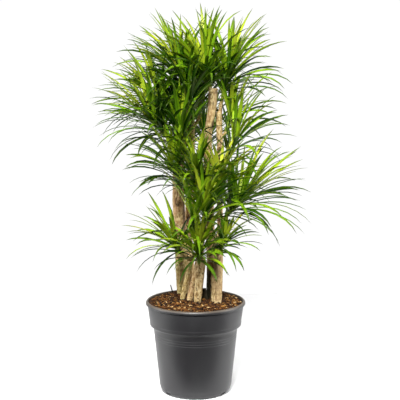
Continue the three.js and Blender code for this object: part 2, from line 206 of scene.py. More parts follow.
def objectNoise(tree, size, detail=3, stretch=(1, 1, 1), kind="ShaderNodeTexNoise"):
    # a pattern on Object coordinates whose features are about size millimetres
    place = addNode(tree, "ShaderNodeTexCoord")
    mapping = addNode(tree, "ShaderNodeMapping", links={"Vector": place.outputs["Object"]})
    mapping.inputs["Scale"].default_value = stretch
    values = {"Scale": 1 / (size * mm)}
    if kind == "ShaderNodeTexNoise":
        values["Detail"] = detail
    return addNode(tree, kind, values=values, links={"Vector": mapping.outputs[0]})


def attributeOf(tree, name):
    return addNode(tree, "ShaderNodeAttribute", {"attribute_name": name}).outputs["Fac"]


def stirred(tree, tone, pattern, reach):
    # the tone, moved up and down by a pattern around its middle value of 0.5
    values = {1: reach, 2: -reach / 2}
    spread = addNode(tree, "ShaderNodeMath", {"operation": "MULTIPLY_ADD"}, values, {0: pattern}).outputs[0]
    return addNode(tree, "ShaderNodeMath", {"operation": "ADD"}, links={0: tone, 1: spread}).outputs[0]


def bumpInto(tree, shader, height, depth):
    # depth in millimetres, the real height of the relief
    values = {"Strength": 1.0, "Distance": depth * mm}
    bump = addNode(tree, "ShaderNodeBump", values=values, links={"Height": height})
    tree.links.new(bump.outputs[0], shader.inputs["Normal"])


def potPolypropylene():
    # grey polypropylene, injection moulded: a matt skin with faint flow marks and a fine eroded grain
    material, tree, shader = newMaterial("moulded_grey_polypropylene")
    flow = objectNoise(tree, 60, 3, (1, 1, 0.3)).outputs["Fac"]
    grain = objectNoise(tree, 1.6, 2).outputs["Fac"]  # real grain is 0.2 mm, drawn coarser to show
    scuffs = objectNoise(tree, 9, 4, (1, 1, 0.5)).outputs["Fac"]
    body = rampOf(tree, flow, [(0.3, "1e1d1f"), (0.7, "242425")])
    scuffed = blendColour(tree, mapRange(tree, scuffs, 0.55, 0.8, 0, 0.25), body, "2b2a29")
    # a paler warm brown is painted on the rolled rim from 249.5 mm up: a painted highlight where the top of
    # the rim catches the light
    place = addNode(tree, "ShaderNodeTexCoord")
    height = addNode(tree, "ShaderNodeSeparateXYZ", links={0: place.outputs["Object"]}).outputs["Z"]
    paintedRimHighlight = blendColour(tree, mapRange(tree, height, 0.2495, 0.2535, 0, 0.8), scuffed, "4e4438")
    tree.links.new(paintedRimHighlight, shader.inputs["Base Color"])
    tree.links.new(mapRange(tree, flow, 0.2, 0.8, 0.4, 0.47), shader.inputs["Roughness"])
    shader.inputs["IOR"].default_value = 1.49
    bumpInto(tree, shader, grain, 0.05)
    return material


def barkMulch():
    # composted bark under the chips: dark crumbs with reddish fibres
    material, tree, shader = newMaterial("composted_bark")
    crumbs = objectNoise(tree, 5, kind="ShaderNodeTexVoronoi")
    fibres = objectNoise(tree, 3, 5).outputs["Fac"]
    crumbTone = addNode(tree, "ShaderNodeSeparateColor", links={0: crumbs.outputs["Color"]}).outputs[0]
    base = rampOf(tree, crumbTone, [(0, "140a03"), (0.5, "301b08"), (1, "543414")])
    earth = blendColour(tree, mapRange(tree, fibres, 0.4, 0.7), base, "1f1005")
    tree.links.new(earth, shader.inputs["Base Color"])
    shader.inputs["Roughness"].default_value = 0.95
    shader.inputs["Specular IOR Level"].default_value = 0.2
    bumpInto(tree, shader, fibres, 1.5)
    return material


def barkChip():
    # shredded pine bark: each chip has its own brown, with pale torn fibres along it
    material, tree, shader = newMaterial("shredded_pine_bark")
    tone = attributeOf(tree, "tone")
    fibres = objectNoise(tree, 2.5, 4).outputs["Fac"]
    stops = [(0, "140a02"), (0.3, "361d06"), (0.58, "603910"), (0.8, "86602c"), (1, "c4a674")]
    tree.links.new(rampOf(tree, stirred(tree, tone, fibres, 0.3), stops), shader.inputs["Base Color"])
    shader.inputs["Roughness"].default_value = 0.85
    shader.inputs["Specular IOR Level"].default_value = 0.2
    bumpInto(tree, shader, fibres, 0.4)
    return material


def caneBark():
    # dry dracaena bark: corky and tan, with pinkish and greenish stretches, dark pits, knots and scar rings,
    # and the painted shade and painted lit side that the marks below carry
    material, tree, shader = newMaterial("corky_cane_bark")
    patches = objectNoise(tree, 24, 4, (1, 1, 0.5)).outputs["Fac"]
    cork = objectNoise(tree, 4.2, 5, (1, 1, 0.45)).outputs["Fac"]
    pits = objectNoise(tree, 12, kind="ShaderNodeTexVoronoi").outputs["Distance"]
    base = rampOf(tree, patches, [(0.25, "65492d"), (0.45, "8e7448"), (0.62, "a98f60"), (0.8, "96724c")])
    corky = blendColour(tree, mapRange(tree, cork, 0.45, 0.62, 0, 0.9), base, "c8b488")
    creased = blendColour(tree, mapRange(tree, cork, 0.45, 0.3, 0, 0.9), corky, "573d26")
    colour = blendColour(tree, mapRange(tree, pits, 0.2, 0.1), creased, "2a1c12")
    # the shade mark is painted shade, and the cut face colour also paints the lit side of a cane as a painted
    # highlight
    marks = {"scar": "5f4430", "pink": "94664e", "young": "7c8334", "shade": "070a02",
             "knotAndShade": "2c1d12", "cutFaceAndLitSide": "d0b486"}
    for mark, code in marks.items():
        colour = blendColour(tree, attributeOf(tree, mark), colour, code)
    tree.links.new(colour, shader.inputs["Base Color"])
    shader.inputs["Roughness"].default_value = 0.9
    shader.inputs["Specular IOR Level"].default_value = 0.12
    bumpInto(tree, shader, cork, 1.2)
    return material


def strapLeaf():
    # living strap leaf: a waxed half-gloss skin, yellow-green when young, with fine veins along it
    material, tree, shader = newMaterial("waxy_strap_leaf")
    tone = attributeOf(tree, "tone")
    along = attributeOf(tree, "along")
    across = attributeOf(tree, "across")
    under = attributeOf(tree, "under")
    veinPlace = addNode(tree, "ShaderNodeCombineXYZ", links={0: across, 1: along, 2: tone})
    stretch = addNode(tree, "ShaderNodeMapping", links={"Vector": veinPlace.outputs[0]})
    stretch.inputs["Scale"].default_value = (9, 0.8, 40)
    noise = {"Scale": 1.0, "Detail": 3}
    veins = addNode(tree, "ShaderNodeTexNoise", values=noise, links={0: stretch.outputs[0]}).outputs["Fac"]
    stops = [(0.0, "001400"), (0.26, "0a3800"), (0.48, "648a0c"), (0.72, "90a61c"), (1.0, "a0a62c")]
    plain = rampOf(tree, stirred(tree, tone, veins, 0.36), stops)
    # the midrib is paler, and the margins are darker
    fromRib = addNode(tree, "ShaderNodeMath", {"operation": "SUBTRACT"}, {1: 0.5}, {0: across}).outputs[0]
    fromRib = addNode(tree, "ShaderNodeMath", {"operation": "ABSOLUTE"}, links={0: fromRib}).outputs[0]
    ribbed = blendColour(tree, mapRange(tree, fromRib, 0.03, 0.1, 0.35, 0), plain, "8ea03c")
    blade = blendColour(tree, mapRange(tree, fromRib, 0.36, 0.5, 0, 0.4), ribbed, "0c3002")
    backed = blendColour(tree, mapRange(tree, under, 0.0, 1.0, 0, 0.35), blade, "46780c")
    footed = blendColour(tree, mapRange(tree, along, 0.12, 0.0, 0, 0.25), backed, "8aa03c")
    tipped = blendColour(tree, mapRange(tree, along, 0.62, 0.94, 0, 0.85), footed, "2a3c0a")
    tree.links.new(tipped, shader.inputs["Base Color"])
    tree.links.new(mapRange(tree, veins, 0.2, 0.8, 0.3, 0.44), shader.inputs["Roughness"])
    shader.inputs["IOR"].default_value = 1.45
    shader.inputs["Specular IOR Level"].default_value = 0.15
    shader.inputs["Subsurface Weight"].default_value = 0.04
    shader.inputs["Subsurface Radius"].default_value = (0.9, 1.0, 0.25)
    shader.inputs["Subsurface Scale"].default_value = 1.2 * mm
    bumpInto(tree, shader, veins, 0.25)
    return material


finishes = {
    "pot": potPolypropylene(),
    "mulch": barkMulch(),
    "chip": barkChip(),
    "cane": caneBark(),
    "leaf": strapLeaf(),
}
print("stage 2: materials made")

# pot
pot = {
    "height": 255, "rimRadius": 136.5, "collarRadius": 131.5, "collarFoot": 189, "collarTaper": 7,
    "stepHeight": 181, "shoulderRadius": 115.4, "bodyRadius": 99.3, "baseRadius": 80,
    "edge": ((90.5, 3), (95.6, 9)), "wall": 2.4, "floor": 3, "segments": 160,
    "grooves": (167, 160, 153), "grooveDepth": 0.55, "grooveWidth": 1.0, "footHeight": 22,
    "slots": (23, 57, 103, 137), "slotSegments": 5, "slotTop": 10.5,
}


def roundedLine(corners, radius, steps=5):
    # each corner of a line is cut back by the radius, or a third of its shorter side, and bowed through it
    corners = np.array(corners, float)
    parts = [corners[:1]]
    share = np.linspace(0, 1, steps)[:, None]
    for before, corner, after in zip(corners[:-2], corners[1:-1], corners[2:]):
        room = min(np.linalg.norm(before - corner), np.linalg.norm(after - corner)) / 3
        cutBack = min(radius, room)
        start = corner + unit(before - corner) * cutBack
        end = corner + unit(after - corner) * cutBack
        parts.append(mix(mix(start, corner, share), mix(corner, end, share), share))
    return np.concatenate(parts + [corners[-1:]])


def potPiece(pot):
    # a closed outline of radius and height, carried round the axis; the slots leave out a window of faces
    # in the outer and the inner wall, and their sides join the two windows
    base, body, shoulder = pot["baseRadius"], pot["bodyRadius"], pot["shoulderRadius"]
    collar, rim, wall = pot["collarRadius"], pot["rimRadius"], pot["wall"]
    footHeight, step = pot["footHeight"], pot["stepHeight"]
    lipHeight, height = pot["collarFoot"], pot["height"]
    lip = collar - pot["collarTaper"]
    bodyHeights = np.concatenate([np.linspace(24, 146, 18), np.linspace(147, step - 8, 66)])
    bodyRadii = mix(body, shoulder, (bodyHeights - footHeight) / (step - footHeight))
    for groove in pot["grooves"]:
        ditch = np.exp(-(((bodyHeights - groove) / pot["grooveWidth"]) ** 2))
        bodyRadii = bodyRadii - pot["grooveDepth"] * ditch
    low, high = pot["edge"]
    chamfer = (pot["slotTop"] - high[1]) / (footHeight - high[1])
    slotHigh = (mix(high[0], body, chamfer), pot["slotTop"])
    footLine = [(base * 0.5, 0), (base, 0), low, high, slotHigh, (body, footHeight)]
    bodyLine = np.stack([bodyRadii, bodyHeights], -1)
    lipLine = [
        (shoulder, step), (lip - 2, lipHeight - 1.6), (lip + 0.5, lipHeight - 0.2),
        (lip + 0.9, lipHeight + 2.5), (lip + 1.1, lipHeight + 4), (lip + 1.5, lipHeight + 7),
        (lip + 1.6, lipHeight + 7.8), (lip + 1.2, lipHeight + 8.6), (lip + 1.3, lipHeight + 9.4),
        (lip + 1.7, lipHeight + 13),
    ]
    rimLine = [
        (collar, height - 13), (collar - 0.6, height - 9.6), (rim - 1, height - 9.4), (rim, height - 8.4),
        (rim, height - 6), (rim - 0.6, height - 3.6), (rim - 2.1, height - 1.4), (rim - 4.2, height - 0.1),
        (collar - 1.5, height - 0.6), (collar - wall, height - 4),
    ]
    inside = [
        (lip - wall, lipHeight + 1), (shoulder - wall, step), (body - wall, footHeight),
        (slotHigh[0] - wall, pot["slotTop"]), (high[0] - wall, high[1] + 1.5), (low[0] - 1.3, low[1] + 2.8),
        (base - 1, pot["floor"]), (base * 0.5, pot["floor"]),
    ]
    outline = np.concatenate([footLine, bodyLine, lipLine, roundedLine(rimLine, 1.0), inside])
    count, sides = len(outline), pot["segments"]
    turn = ringAngles(sides) - np.pi / 2
    radius, level = outline[:, :1], outline[:, 1:]
    skin = np.stack([radius * np.cos(turn), radius * np.sin(turn), level + 0 * turn], -1)
    points, walls, caps = closedTube(skin, (0, 0, 0), (0, 0, pot["floor"]))
    ring, side = walls[:, 0] // sides, walls[:, 0] % sides
    columns = np.array(pot["slots"])[:, None] + np.arange(pot["slotSegments"]) - pot["slotSegments"] // 2
    inSlot = np.isin(side, columns)
    outerWindow = (ring >= 2) & (ring < 4)
    innerWindow = (ring >= count - 5) & (ring < count - 3)
    kept = walls[~(inSlot & (outerWindow | innerWindow))]
    after = columns + 1

    def bridge(near, far):
        # faces across the wall, from one ring to another, over each slot
        ends = [near * sides + after, near * sides + columns, far * sides + columns, far * sides + after]
        return np.stack(ends, -1).reshape(-1, 4)

    cheek = np.array([2, 3, 4, count - 5, count - 4, count - 3]) * sides
    leftCheek = cheek[None, ::-1] + columns[:, :1]
    rightCheek = cheek[None, :] + after[:, -1:]
    faces = [kept, bridge(2, count - 3), bridge(count - 5, 4), leftCheek, rightCheek, caps]
    meshPiece("pot_shell", points, faces, finishes["pot"], ["pot"])


potPiece(pot)
print("stage 3: pot made")

# mulch; its crumbs lie a little below the height that the chips are set at
mulch = {
    "edge": 252, "mound": 4.5, "bump": 2.6, "radius": 127.4, "rings": 56, "segments": 180, "sunk": 2.4,
    "chips": 2300, "chipReach": 117, "chipLength": (6, 25), "chipSeed": 11,
}


def mulchHeight(x, y):
    # the frame's own surface: a low mound with two crossed waves and a finer third one
    share = np.clip(1 - np.hypot(x, y) / pot["collarRadius"], 0, 1)
    broad = np.sin(x / 9 + 0.7) * np.cos(y / 8)
    fine = np.sin((x + y) / 5.3) * np.cos((x - y) / 6.1)
    mound = mulch["mound"] * np.sin(share * np.pi / 2)
    return mulch["edge"] + mound + mulch["bump"] * (0.6 * broad + 0.4 * fine)


def mulchPiece(mulch):
    # rings from the edge to the middle, raised by the mulch height and crumbs, on a plain drum in the pot
    turn = ringAngles(mulch["segments"])
    radii = mulch["radius"] * (1 - np.arange(mulch["rings"]) / mulch["rings"])
    x, y = radii[:, None] * np.cos(turn), radii[:, None] * np.sin(turn)
    crumbs = 1.6 * softNoise(x, y, 0 * x, 7, 3) + 0.9 * softNoise(x, y, 0 * x, 3.4, 4)
    top = np.stack([x, y, mulchHeight(x, y) + crumbs - mulch["sunk"]], -1)
    drum = [
        (pot["baseRadius"] - 3, pot["floor"] + 0.4),
        (pot["bodyRadius"] - pot["wall"] - 1, pot["footHeight"]),
        (pot["shoulderRadius"] - pot["wall"] - 1, pot["stepHeight"]),
        (pot["collarRadius"] - pot["collarTaper"] - pot["wall"] - 1, pot["collarFoot"] + 1.3),
    ]
    wall = np.array([np.stack([r * np.cos(turn), r * np.sin(turn), h + 0 * turn], -1) for r, h in drum])
    peak = (0, 0, float(mulchHeight(0.0, 0.0)) - mulch["sunk"])
    points, *faces = closedTube(np.concatenate([wall, top]), (0, 0, drum[0][1]), peak)
    meshPiece("mulch_bed", points, faces, finishes["mulch"], ["mulch"])


def chipsPiece(mulch, segments):
    # each chip is a bevelled six-sided splinter: two rings of six points round its middle, tilted and turned
    draws = np.random.default_rng(mulch["chipSeed"])
    count = mulch["chips"]
    radius = mulch["chipReach"] * np.sqrt(draws.random(count))
    turn = 2 * np.pi * draws.random(count)
    x, y = radius * np.cos(turn), radius * np.sin(turn)
    length = mix(*mulch["chipLength"], draws.random(count) ** 2.4)
    width = np.clip(length * mix(0.14, 0.34, draws.random(count)), 1.6, 5)
    thick = mix(1.0, 2.6, draws.random(count))
    corner = ringAngles(6)
    ragged = 1 + 0.3 * (draws.random((count, 2, 6)) - 0.5)
    inset = np.array([1.0, 0.78])[None, :, None]
    local = np.stack([
        0.5 * length[:, None, None] * np.cos(corner) * ragged * inset,
        0.5 * width[:, None, None] * np.sin(corner) * ragged * inset,
        thick[:, None, None] * np.array([-0.5, 0.5])[None, :, None] + 0 * ragged,
    ], -1)
    yaw = 2 * np.pi * draws.random(count)
    pitch = 0.9 * (draws.random(count) - 0.5)
    roll = 1.5 * (draws.random(count) - 0.5)
    along = np.stack([np.cos(yaw) * np.cos(pitch), np.sin(yaw) * np.cos(pitch), np.sin(pitch)], -1)
    level = np.stack([-np.sin(yaw), np.cos(yaw), 0 * yaw], -1)
    normal = np.cross(along, level)
    side = level * np.cos(roll)[:, None] + normal * np.sin(roll)[:, None]
    axes = np.stack([along, side, np.cross(along, side)], 1)
    lift = mix(-3.2, 1.8, draws.random(count))
    middle = np.stack([x, y, mulchHeight(x, y) + lift], -1)
    points = np.einsum("cruk,ckj->cruj", local, axes) + middle[:, None, None]
    tone = np.clip(draws.normal(0.42, 0.28, count), 0.02, 1)
    room = woodRoom(middle, segments)
    # the chips are darkened among the canes: painted shade at the canes' feet
    tone = tone * mix(0.5, 1, smooth(room, 0, 26))
    keep = room > 1.0
    points, tone = points[keep], tone[keep]
    first = np.arange(len(points))[:, None, None] * 12
    walls = (first + ringFaces(2, 6)[None]).reshape(-1, 4)
    ends = np.concatenate([(first[:, 0] + np.arange(6)[::-1]), (first[:, 0] + 6 + np.arange(6))])
    values = {"tone": np.repeat(tone, 12)}
    meshPiece("mulch_chips", points, [walls, ends], finishes["chip"], values=values)


# canes and the shoots that leave them: here the radius, the height of the cut top, and the centre line from
# the mulch upwards, as in the frame
canes = {
    "cane_left": (16.5, 780, [(-36, 81, 250), (-42, 80, 382), (-47, 62, 530), (-46, 55, 635),
                              (-36, 52, 750)]),
    "cane_back": (9.5, 806, [(-10, 108, 250), (-19, 98, 420), (-18, 88, 522), (-12, 76, 661),
                             (-14, 66, 780)]),
    "cane_thin": (7, 386, [(-36, 8, 250), (-20, 5, 330), (-10, 2, 375)]),
    "cane_front_tall": (9, 400, [(-17, -8, 250), (-1, -2, 319), (4, 0, 342), (13, 6, 388)]),
    "cane_front_short": (10, 376, [(5, -20, 250), (12.5, -22.5, 335), (15.5, -24, 372)]),
    "cane_centre": (12, 832, [(42, 28, 250), (41, 30, 400), (34, 30, 640), (33, 30, 700), (45, 30, 780),
                              (47, 30, 815)]),
    "cane_right": (15.5, 438, [(56, -16, 250), (60, -16, 398), (64, -16, 424)]),
    "cane_far": (8.5, 768, [(66, 56, 250), (67, 54, 400), (67, 52, 635), (64, 50, 750)]),
}
# dark marks on the front of a cane: sideways place and height of the middle, half width and half height
# the long mark on cane_left, 14 mm to the side, is painted shade: the shadow line down its right edge beside
# the back cane
knotsAndShade = {
    "cane_left": [(-2, 522, 5.5, 12), (8, 410, 4, 6), (-1, 352, 5, 9), (14, 478, 4.2, 64)],
    "cane_back": [(-3, 470, 3, 14), (1, 540, 3, 8)],
    "cane_front_short": [(7, 336, 2.4, 3), (3, 316, 2.2, 2.6), (-6, 294, 2.2, 2.8), (0, 275, 1.8, 2.4)],
    "cane_front_tall": [(2, 300, 2, 5), (-3, 352, 2, 4)],
    "cane_right": [(6, 372, 3, 3), (-4, 318, 2.2, 2.4), (3, 290, 2, 2)],
    "cane_centre": [(2, 792, 3, 7), (-9, 804, 3.2, 26), (9, 824, 3.6, 9), (8, 738, 4, 18)],
    "cane_far": [(-1, 640, 2.4, 9), (2, 700, 2.2, 5)],
}
growth = {"cane_front_short": 0.31}  # the share by which this one thickens towards its top
barkSwell = {"cane_back": 0.07}  # the share by which loose bark thickens this one
# the cane and height that a shoot leaves from, the foot and tip of its leafy stretch, how many leaves it
# has and how long they are
heads = {
    "head_centre_top": ("cane_centre", 815, (38, 28, 838), (20, 20, 892), 80, 192),
    "head_back_top": ("cane_back", 785, (-20, 58, 830), (-52, 46, 886), 76, 192),
    "head_far_top": ("cane_far", 745, (74, 50, 808), (96, 46, 892), 72, 190),
    "head_left_upper": ("cane_left", 740, (-70, 36, 760), (-108, 20, 808), 68, 180),
    "head_left_outer": ("cane_left", 650, (-78, -4, 706), (-128, -26, 764), 68, 184),
    "head_left_front": ("cane_left", 510, (-46, 0, 576), (-62, -30, 640), 62, 170),
    "head_far_outer": ("cane_far", 690, (84, 54, 716), (104, 44, 772), 30, 166),
    "head_far_low": ("cane_far", 560, (88, 14, 644), (114, -4, 704), 38, 178),
    "head_right": ("cane_right", 425, (84, -30, 496), (142, -40, 556), 70, 200),
    "head_front_tall": ("cane_front_tall", 390, (24, -52, 472), (22, -76, 540), 74, 178),
    "head_thin": ("cane_thin", 366, (-42, -28, 394), (-62, -46, 426), 42, 156),
    "head_front_mid": ("cane_front_tall", 366, (-2, -50, 436), (-10, -78, 506), 48, 170),
    "head_front_short": ("cane_front_short", 344, (10, -50, 372), (8, -84, 424), 84, 146),
    "head_right_low": ("cane_right", 372, (66, -50, 404), (80, -72, 440), 30, 122),
    "head_back_mid": ("cane_back", 716, (10, 96, 756), (14, 110, 820), 50, 180),
    "head_back_low": ("cane_back", 590, (-28, 126, 645), (-40, 152, 714), 56, 176),
    "head_centre_back": ("cane_centre", 590, (26, 98, 650), (28, 126, 712), 48, 170),
    "head_left_mid": ("cane_left", 610, (-34, 0, 660), (-42, -26, 730), 66, 188),
    "head_centre_mid": ("cane_centre", 480, (6, -26, 550), (2, -54, 622), 68, 174),
    "head_bright": ("cane_far", 460, (62, -18, 530), (64, -40, 596), 50, 164),
    "head_inner": ("cane_back", 716, (-12, 16, 764), (-20, -8, 826), 56, 186),
}
# how deep a cane's foot is buried and how far it is drawn in, its slow swell, the step between rings of
# points, the gap between leaf scars, the radii of a shoot and of a head's core from foot to tip, and the
# gap between a shoot and its head
wood = {
    "burial": 58, "footShift": 0.94, "swell": 0.05, "ringStep": 2.5, "sides": 36, "scarGap": 15.5,
    "shootRadius": (6.4, 4.8), "shootStep": 2.0, "shootSides": 14, "shootScarGap": 6.5,
    "coreRadius": (6.6, 5.2, 3.8, 1.5), "coreSides": 12, "gap": 0.3,
}
# how strongly each tint shows: black-green painted shade low on the middle cane, where it stands in shadow
# near the mulch, a green cast near the mulch or among the leaves, painted shade over the upper stretch of all
# of them, a painted highlight of pale bark on the lit side to +X, and pinkish patches
caneTints = {
    "shade": {"cane_centre": 0.97, "cane_left": 0.12},
    "green": {"cane_left": 0.24, "cane_thin": 0.14},
    "aloft": {"cane_centre": 0.1, "cane_back": 0.2, "cane_far": 0.08},
    "upperShade": 0.16,
    "paintedLitSide": {"cane_right": 0.45, "cane_left": 0.1, "cane_centre": 0.2},
    "pink": {"cane_left": 0.45, "cane_back": 0.3, "cane_right": 0.2, "cane_far": 0.22,
             "cane_centre": 0.34, "cane_front_tall": 0.25},
}


def smoothLine(path, spacing):
    # a curve through the path: each stretch is a cubic whose end slopes weigh the neighbouring stretches
    # by the square roots of their lengths, then it is cut at even distances
    path = np.array(path, float)
    padded = np.vstack([2 * path[0] - path[1], path, 2 * path[-1] - path[-2]])
    root = np.sqrt(np.linalg.norm(np.diff(padded, axis=0), axis=1))[:, None]
    share = np.linspace(0, 1, 40, endpoint=False)[:, None]
    parts = []
    for i in range(len(path) - 1):
        before, start, end, after = padded[i : i + 4]
        d0, d1, d2 = root[i : i + 3]
        leave = ((start - before) / d0 - (end - before) / (d0 + d1) + (end - start) / d1) * d1
        arrive = ((end - start) / d1 - (after - start) / (d1 + d2) + (after - end) / d2) * d1
        square, cube = share**2, share**3
        parts.append((2 * cube - 3 * square + 1) * start + (cube - 2 * square + share) * leave
                     + (3 * square - 2 * cube) * end + (cube - square) * arrive)
    return evenLine(np.concatenate(parts + [path[-1:]]), spacing)


def evenLine(line, spacing):
    # points at even distances along a line of straight stretches
    distance = np.concatenate([[0], np.cumsum(np.linalg.norm(np.diff(line, axis=0), axis=1))])
    places = np.linspace(0, distance[-1], max(3, round(distance[-1] / spacing) + 1))
    return np.stack([np.interp(places, distance, line[:, k]) for k in range(3)], -1)


def caneLine(name, spacing):
    # the path, with a buried foot in front of it and a straight end up to the height of the cut top
    top, path = canes[name][1:]
    last, before = np.array(path[-1], float), np.array(path[-2], float)
    slope = (last - before) / (last - before)[2]
    end = last + slope * (top - last[2])
    foot = (path[0][0] * wood["footShift"], path[0][1] * wood["footShift"], path[0][2] - wood["burial"])
    return smoothLine([foot, *path, end], spacing)


def shootLine(name, spacing):
    # a cubic from the middle of the cane to just under the head, straight for its last few millimetres
    cane, height, base, tip = heads[name][:4]
    base, tip = np.array(base, float), np.array(tip, float)
    along = unit(tip - base)
    end = base - wood["gap"] * along
    bendEnd = end - 4 * along
    line = caneLine(cane, 4)
    start = np.array([np.interp(height, line[:, 2], line[:, k]) for k in range(3)])
    reach = np.linalg.norm(bendEnd - start)
    leave = unit(bendEnd - start) * 0.35 * reach + np.array([0, 0, 0.05 * reach])
    share = np.linspace(0, 1, 40)[:, None]
    guides = [start, start + leave, bendEnd - 0.35 * reach * along, bendEnd]
    weights = [(1 - share) ** 3, 3 * share * (1 - share) ** 2, 3 * share**2 * (1 - share), share**3]
    curve = sum(weight * guide for weight, guide in zip(weights, guides))
    return evenLine(np.vstack([curve, end]), spacing)


def tubeAround(line, radii, sides):
    # rings of points square to the line; the ring's first direction is kept as near to +X as the line lets it
    along = unit(np.gradient(line, axis=0))
    across = unit(np.array([1.0, 0, 0]) - along * along[:, :1])
    other = np.cross(along, across)
    turn = ringAngles(sides)
    ring = across[:, None] * np.cos(turn)[None, :, None] + other[:, None] * np.sin(turn)[None, :, None]
    return line[:, None] + ring * radii[..., None]


def caneSkin(name, seed):
    # radius = plain radius x (slow swell + broad lumps + knobs) + raised scar rings, less a worn top edge
    line = caneLine(name, wood["ringStep"])
    low, top = canes[name][2][0][2], canes[name][1]
    usual = canes[name][0] * (1 + barkSwell.get(name, 0))
    height = line[:, 2:]
    radius = usual * (1 + growth.get(name, 0) * np.clip((height - low) / (top - low), 0, 1))
    turn = ringAngles(wood["sides"])
    circleX, circleY = radius * np.cos(turn), radius * np.sin(turn)
    lumps = softNoise(circleX, circleY, height, 21, seed)
    knobs = softNoise(circleX, circleY, height, 8, seed + 1)
    wander = 2.2 * softNoise(0 * circleX, 0 * circleY, height, 30, seed + 2)
    beat = (height + wander + 0.8 * knobs) / wood["scarGap"]
    toRing = np.abs(beat - np.round(beat)) * wood["scarGap"]
    patchy = smooth(softNoise(circleX, circleY, height, 26, seed + 3), -0.5, 0.4)
    scar = np.exp(-((toRing / 1.1) ** 2)) * patchy
    grown = radius * (1 + wood["swell"] * np.sin(height / 31 + usual) - 0.02 + 0.035 * lumps + 0.03 * knobs)
    grown = grown + 0.35 * scar
    fromTop = np.linalg.norm(line[-1] - line, axis=1)[:, None]
    grown = grown - 1.2 * np.exp(-fromTop / 1.5)
    points = tubeAround(line, grown, wood["sides"])
    # a mark is an oval on the side that faces -Y; the widest ones have a pale worn middle inside a dark rim
    knotAndShade = 0 * scar
    toSide, toFront = points[..., 0] - line[:, None, 0], line[:, None, 1] - points[..., 1]
    for middle, level, halfWidth, halfHeight in knotsAndShade.get(name, []):
        away = np.hypot((toSide - middle) / halfWidth, (points[..., 2] - level) / halfHeight)
        away = away + 0.25 * knobs
        rim = np.exp(-(((away - 0.9) / 0.35) ** 2)) if halfWidth > 4.9 else 1 - smooth(away, 0.5, 1.2)
        knotAndShade = np.maximum(knotAndShade, 0.85 * rim * (toFront > 0))
    return points, {"scar": 0.75 * scar, "young": 0 * scar, "cutFaceAndLitSide": 0 * scar, "knotAndShade": knotAndShade}


def shootSkin(name, seed):
    # a flare where the shoot leaves the cane, then a slow taper with close leaf-scar rings
    line = shootLine(name, wood["shootStep"])
    share = np.linspace(0, 1, len(line))[:, None]
    turn = ringAngles(wood["shootSides"])
    along = share * len(line) * wood["shootStep"]
    beat = along / wood["shootScarGap"]
    scar = np.exp(-(((beat - np.round(beat)) * wood["shootScarGap"] / 0.9) ** 2)) + 0 * turn
    knobs = softNoise(6 * np.cos(turn), 6 * np.sin(turn), along, 6, seed)
    grown = mix(*wood["shootRadius"], share) - 0.35 + 0.3 * knobs + 0.25 * scar
    points = tubeAround(line, grown, wood["shootSides"])
    young = smooth(share, 0.55, 1.0) * 0.55 + 0 * turn
    return points, {"scar": 0.6 * scar, "young": young, "cutFaceAndLitSide": 0 * scar, "knotAndShade": 0 * scar}


def canePiece(name, seed):
    # the cane's skin and its shoots' skins, each closed with a slightly raised point at both ends
    shoots = [shootSkin(head, seed + 5 + i) for i, head in enumerate(heads) if heads[head][0] == name]
    values = {"scar": [], "young": [], "cutFaceAndLitSide": [], "knotAndShade": []}
    tubes, first = [], 0
    for skin, marks in [caneSkin(name, seed), *shoots]:
        centres = skin.mean(1)
        # the cut face: its outer ring is repeated so that its edge stays crisp
        along = unit(centres[-1] - centres[-2])
        face = mix(centres[-1], skin[-1], 0.94) + 0.15 * along
        skin = np.concatenate([skin, face[None]])
        tubes.append(closedTube(skin, centres[0], centres[-1] + 0.4 * along, first))
        first += len(tubes[-1][0])
        for key in values:
            closing = np.full(len(face) + 2, 1.0 if key == "cutFaceAndLitSide" else 0.0)
            values[key].append(np.concatenate([marks[key].reshape(-1), closing]))
    points, quads, triangles = (np.concatenate(part) for part in zip(*tubes))
    values = {key: np.concatenate(parts) for key, parts in values.items()}

    def tint(key):
        return caneTints[key].get(name, 0.0)

    # broad colour along each cane, from the tints above, with uneven edges
    x, y, z = points.T
    uneven = softNoise(x, y, z, 14, seed)
    # painted shade: black-green low on the canes that stand in shadow near the mulch
    values["shade"] = tint("shade") * (1 - smooth(z + 12 * uneven, 318, 400))
    # painted shade over the upper stretch of every cane, among the leaves
    high = smooth(z + 20 * uneven, 560, 700)
    values["shade"] = np.maximum(values["shade"], caneTints["upperShade"] * high)
    low = 1 - smooth(z + 20 * uneven, 310, 480)
    values["young"] = np.maximum(values["young"], tint("green") * low)
    values["young"] = np.maximum(values["young"], tint("aloft") * high)
    values["pink"] = tint("pink") * smooth(uneven, -0.5, 0.5)
    # painted highlight: the side to +X is lightened with the cut face's pale colour, where the light falls on
    # it
    sideways = x - canes[name][2][0][0]
    paintedLitSide = tint("paintedLitSide") * smooth(sideways, -8, 6) * smooth(uneven, -0.8, 0.2)
    values["cutFaceAndLitSide"] = np.maximum(values["cutFaceAndLitSide"], paintedLitSide * (1 - values["shade"]))
    meshPiece(name + "_bark", points, [quads, triangles], finishes["cane"], [name], values)


def woodSegments(names):
    # start, end and radius of every short stretch of cane and shoot
    parts = []
    for name in canes:
        line = caneLine(name, 30)
        widest = canes[name][0] * (1 + growth.get(name, 0)) * (1 + wood["swell"])
        parts.append((line[:-1], line[1:], widest))
    for name in names:
        line = shootLine(name, 12)
        parts.append((line[:-1], line[1:], wood["shootRadius"][0]))
    starts = np.concatenate([p[0] for p in parts])
    ends = np.concatenate([p[1] for p in parts])
    radii = np.concatenate([np.full(len(p[0]), p[2]) for p in parts])
    return starts, ends, radii


